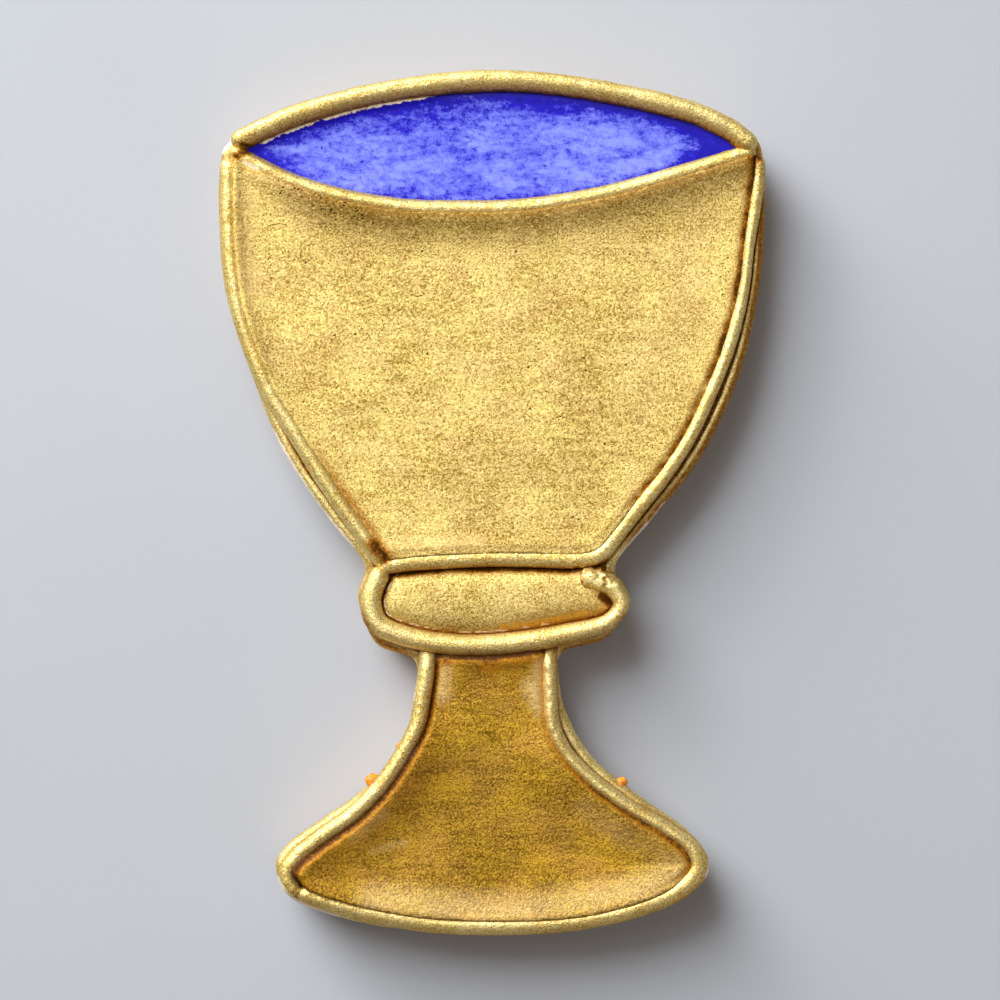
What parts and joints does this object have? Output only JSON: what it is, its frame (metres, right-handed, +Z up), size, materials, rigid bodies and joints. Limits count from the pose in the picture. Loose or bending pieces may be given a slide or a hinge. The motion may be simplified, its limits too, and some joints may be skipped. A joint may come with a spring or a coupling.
{
  "type": "chalice-shaped iced cookie",
  "caption": "Flat baked sugar cookie in the outline of a communion chalice, with a white icing base coat, gold-painted piped lines and floods, and a blue lens for the wine.",
  "frame": {"origin": "on the cookie's flat underside, in the middle of the outline's bounding box", "axes": "+X to the chalice's right, +Y along its length from foot to rim, +Z up through the thickness to the iced face"},
  "size_m": [0.0646, 0.1019, 0.0106],
  "materials": {
    "baked_cookie": "matte",
    "white_icing": "satin",
    "wine_blue_icing": "satin",
    "gold_lustre": "satin",
    "ochre_lustre": "satin",
    "orange_paint": "gloss"
  },
  "bodies": {
    "root": {"cookie_base": "baked_cookie", "base_coat_outline": "white_icing", "base_coat_flood": "white_icing", "wine_flood": "wine_blue_icing", "bowl_flood": "gold_lustre", "knop_flood": "gold_lustre", "stem_and_foot_flood": "ochre_lustre", "rim_back_bead": "gold_lustre", "rim_front_bead": "gold_lustre", "bowl_left_bead": "gold_lustre", "bowl_right_and_base_bead": "gold_lustre", "knop_bead": "gold_lustre", "foot_left_bead": "gold_lustre", "foot_base_and_right_bead": "gold_lustre", "paint_crumb_upper_left": "orange_paint", "paint_crumb_lower_left": "orange_paint", "paint_crumb_right": "orange_paint"}
  },
  "joints": []
}
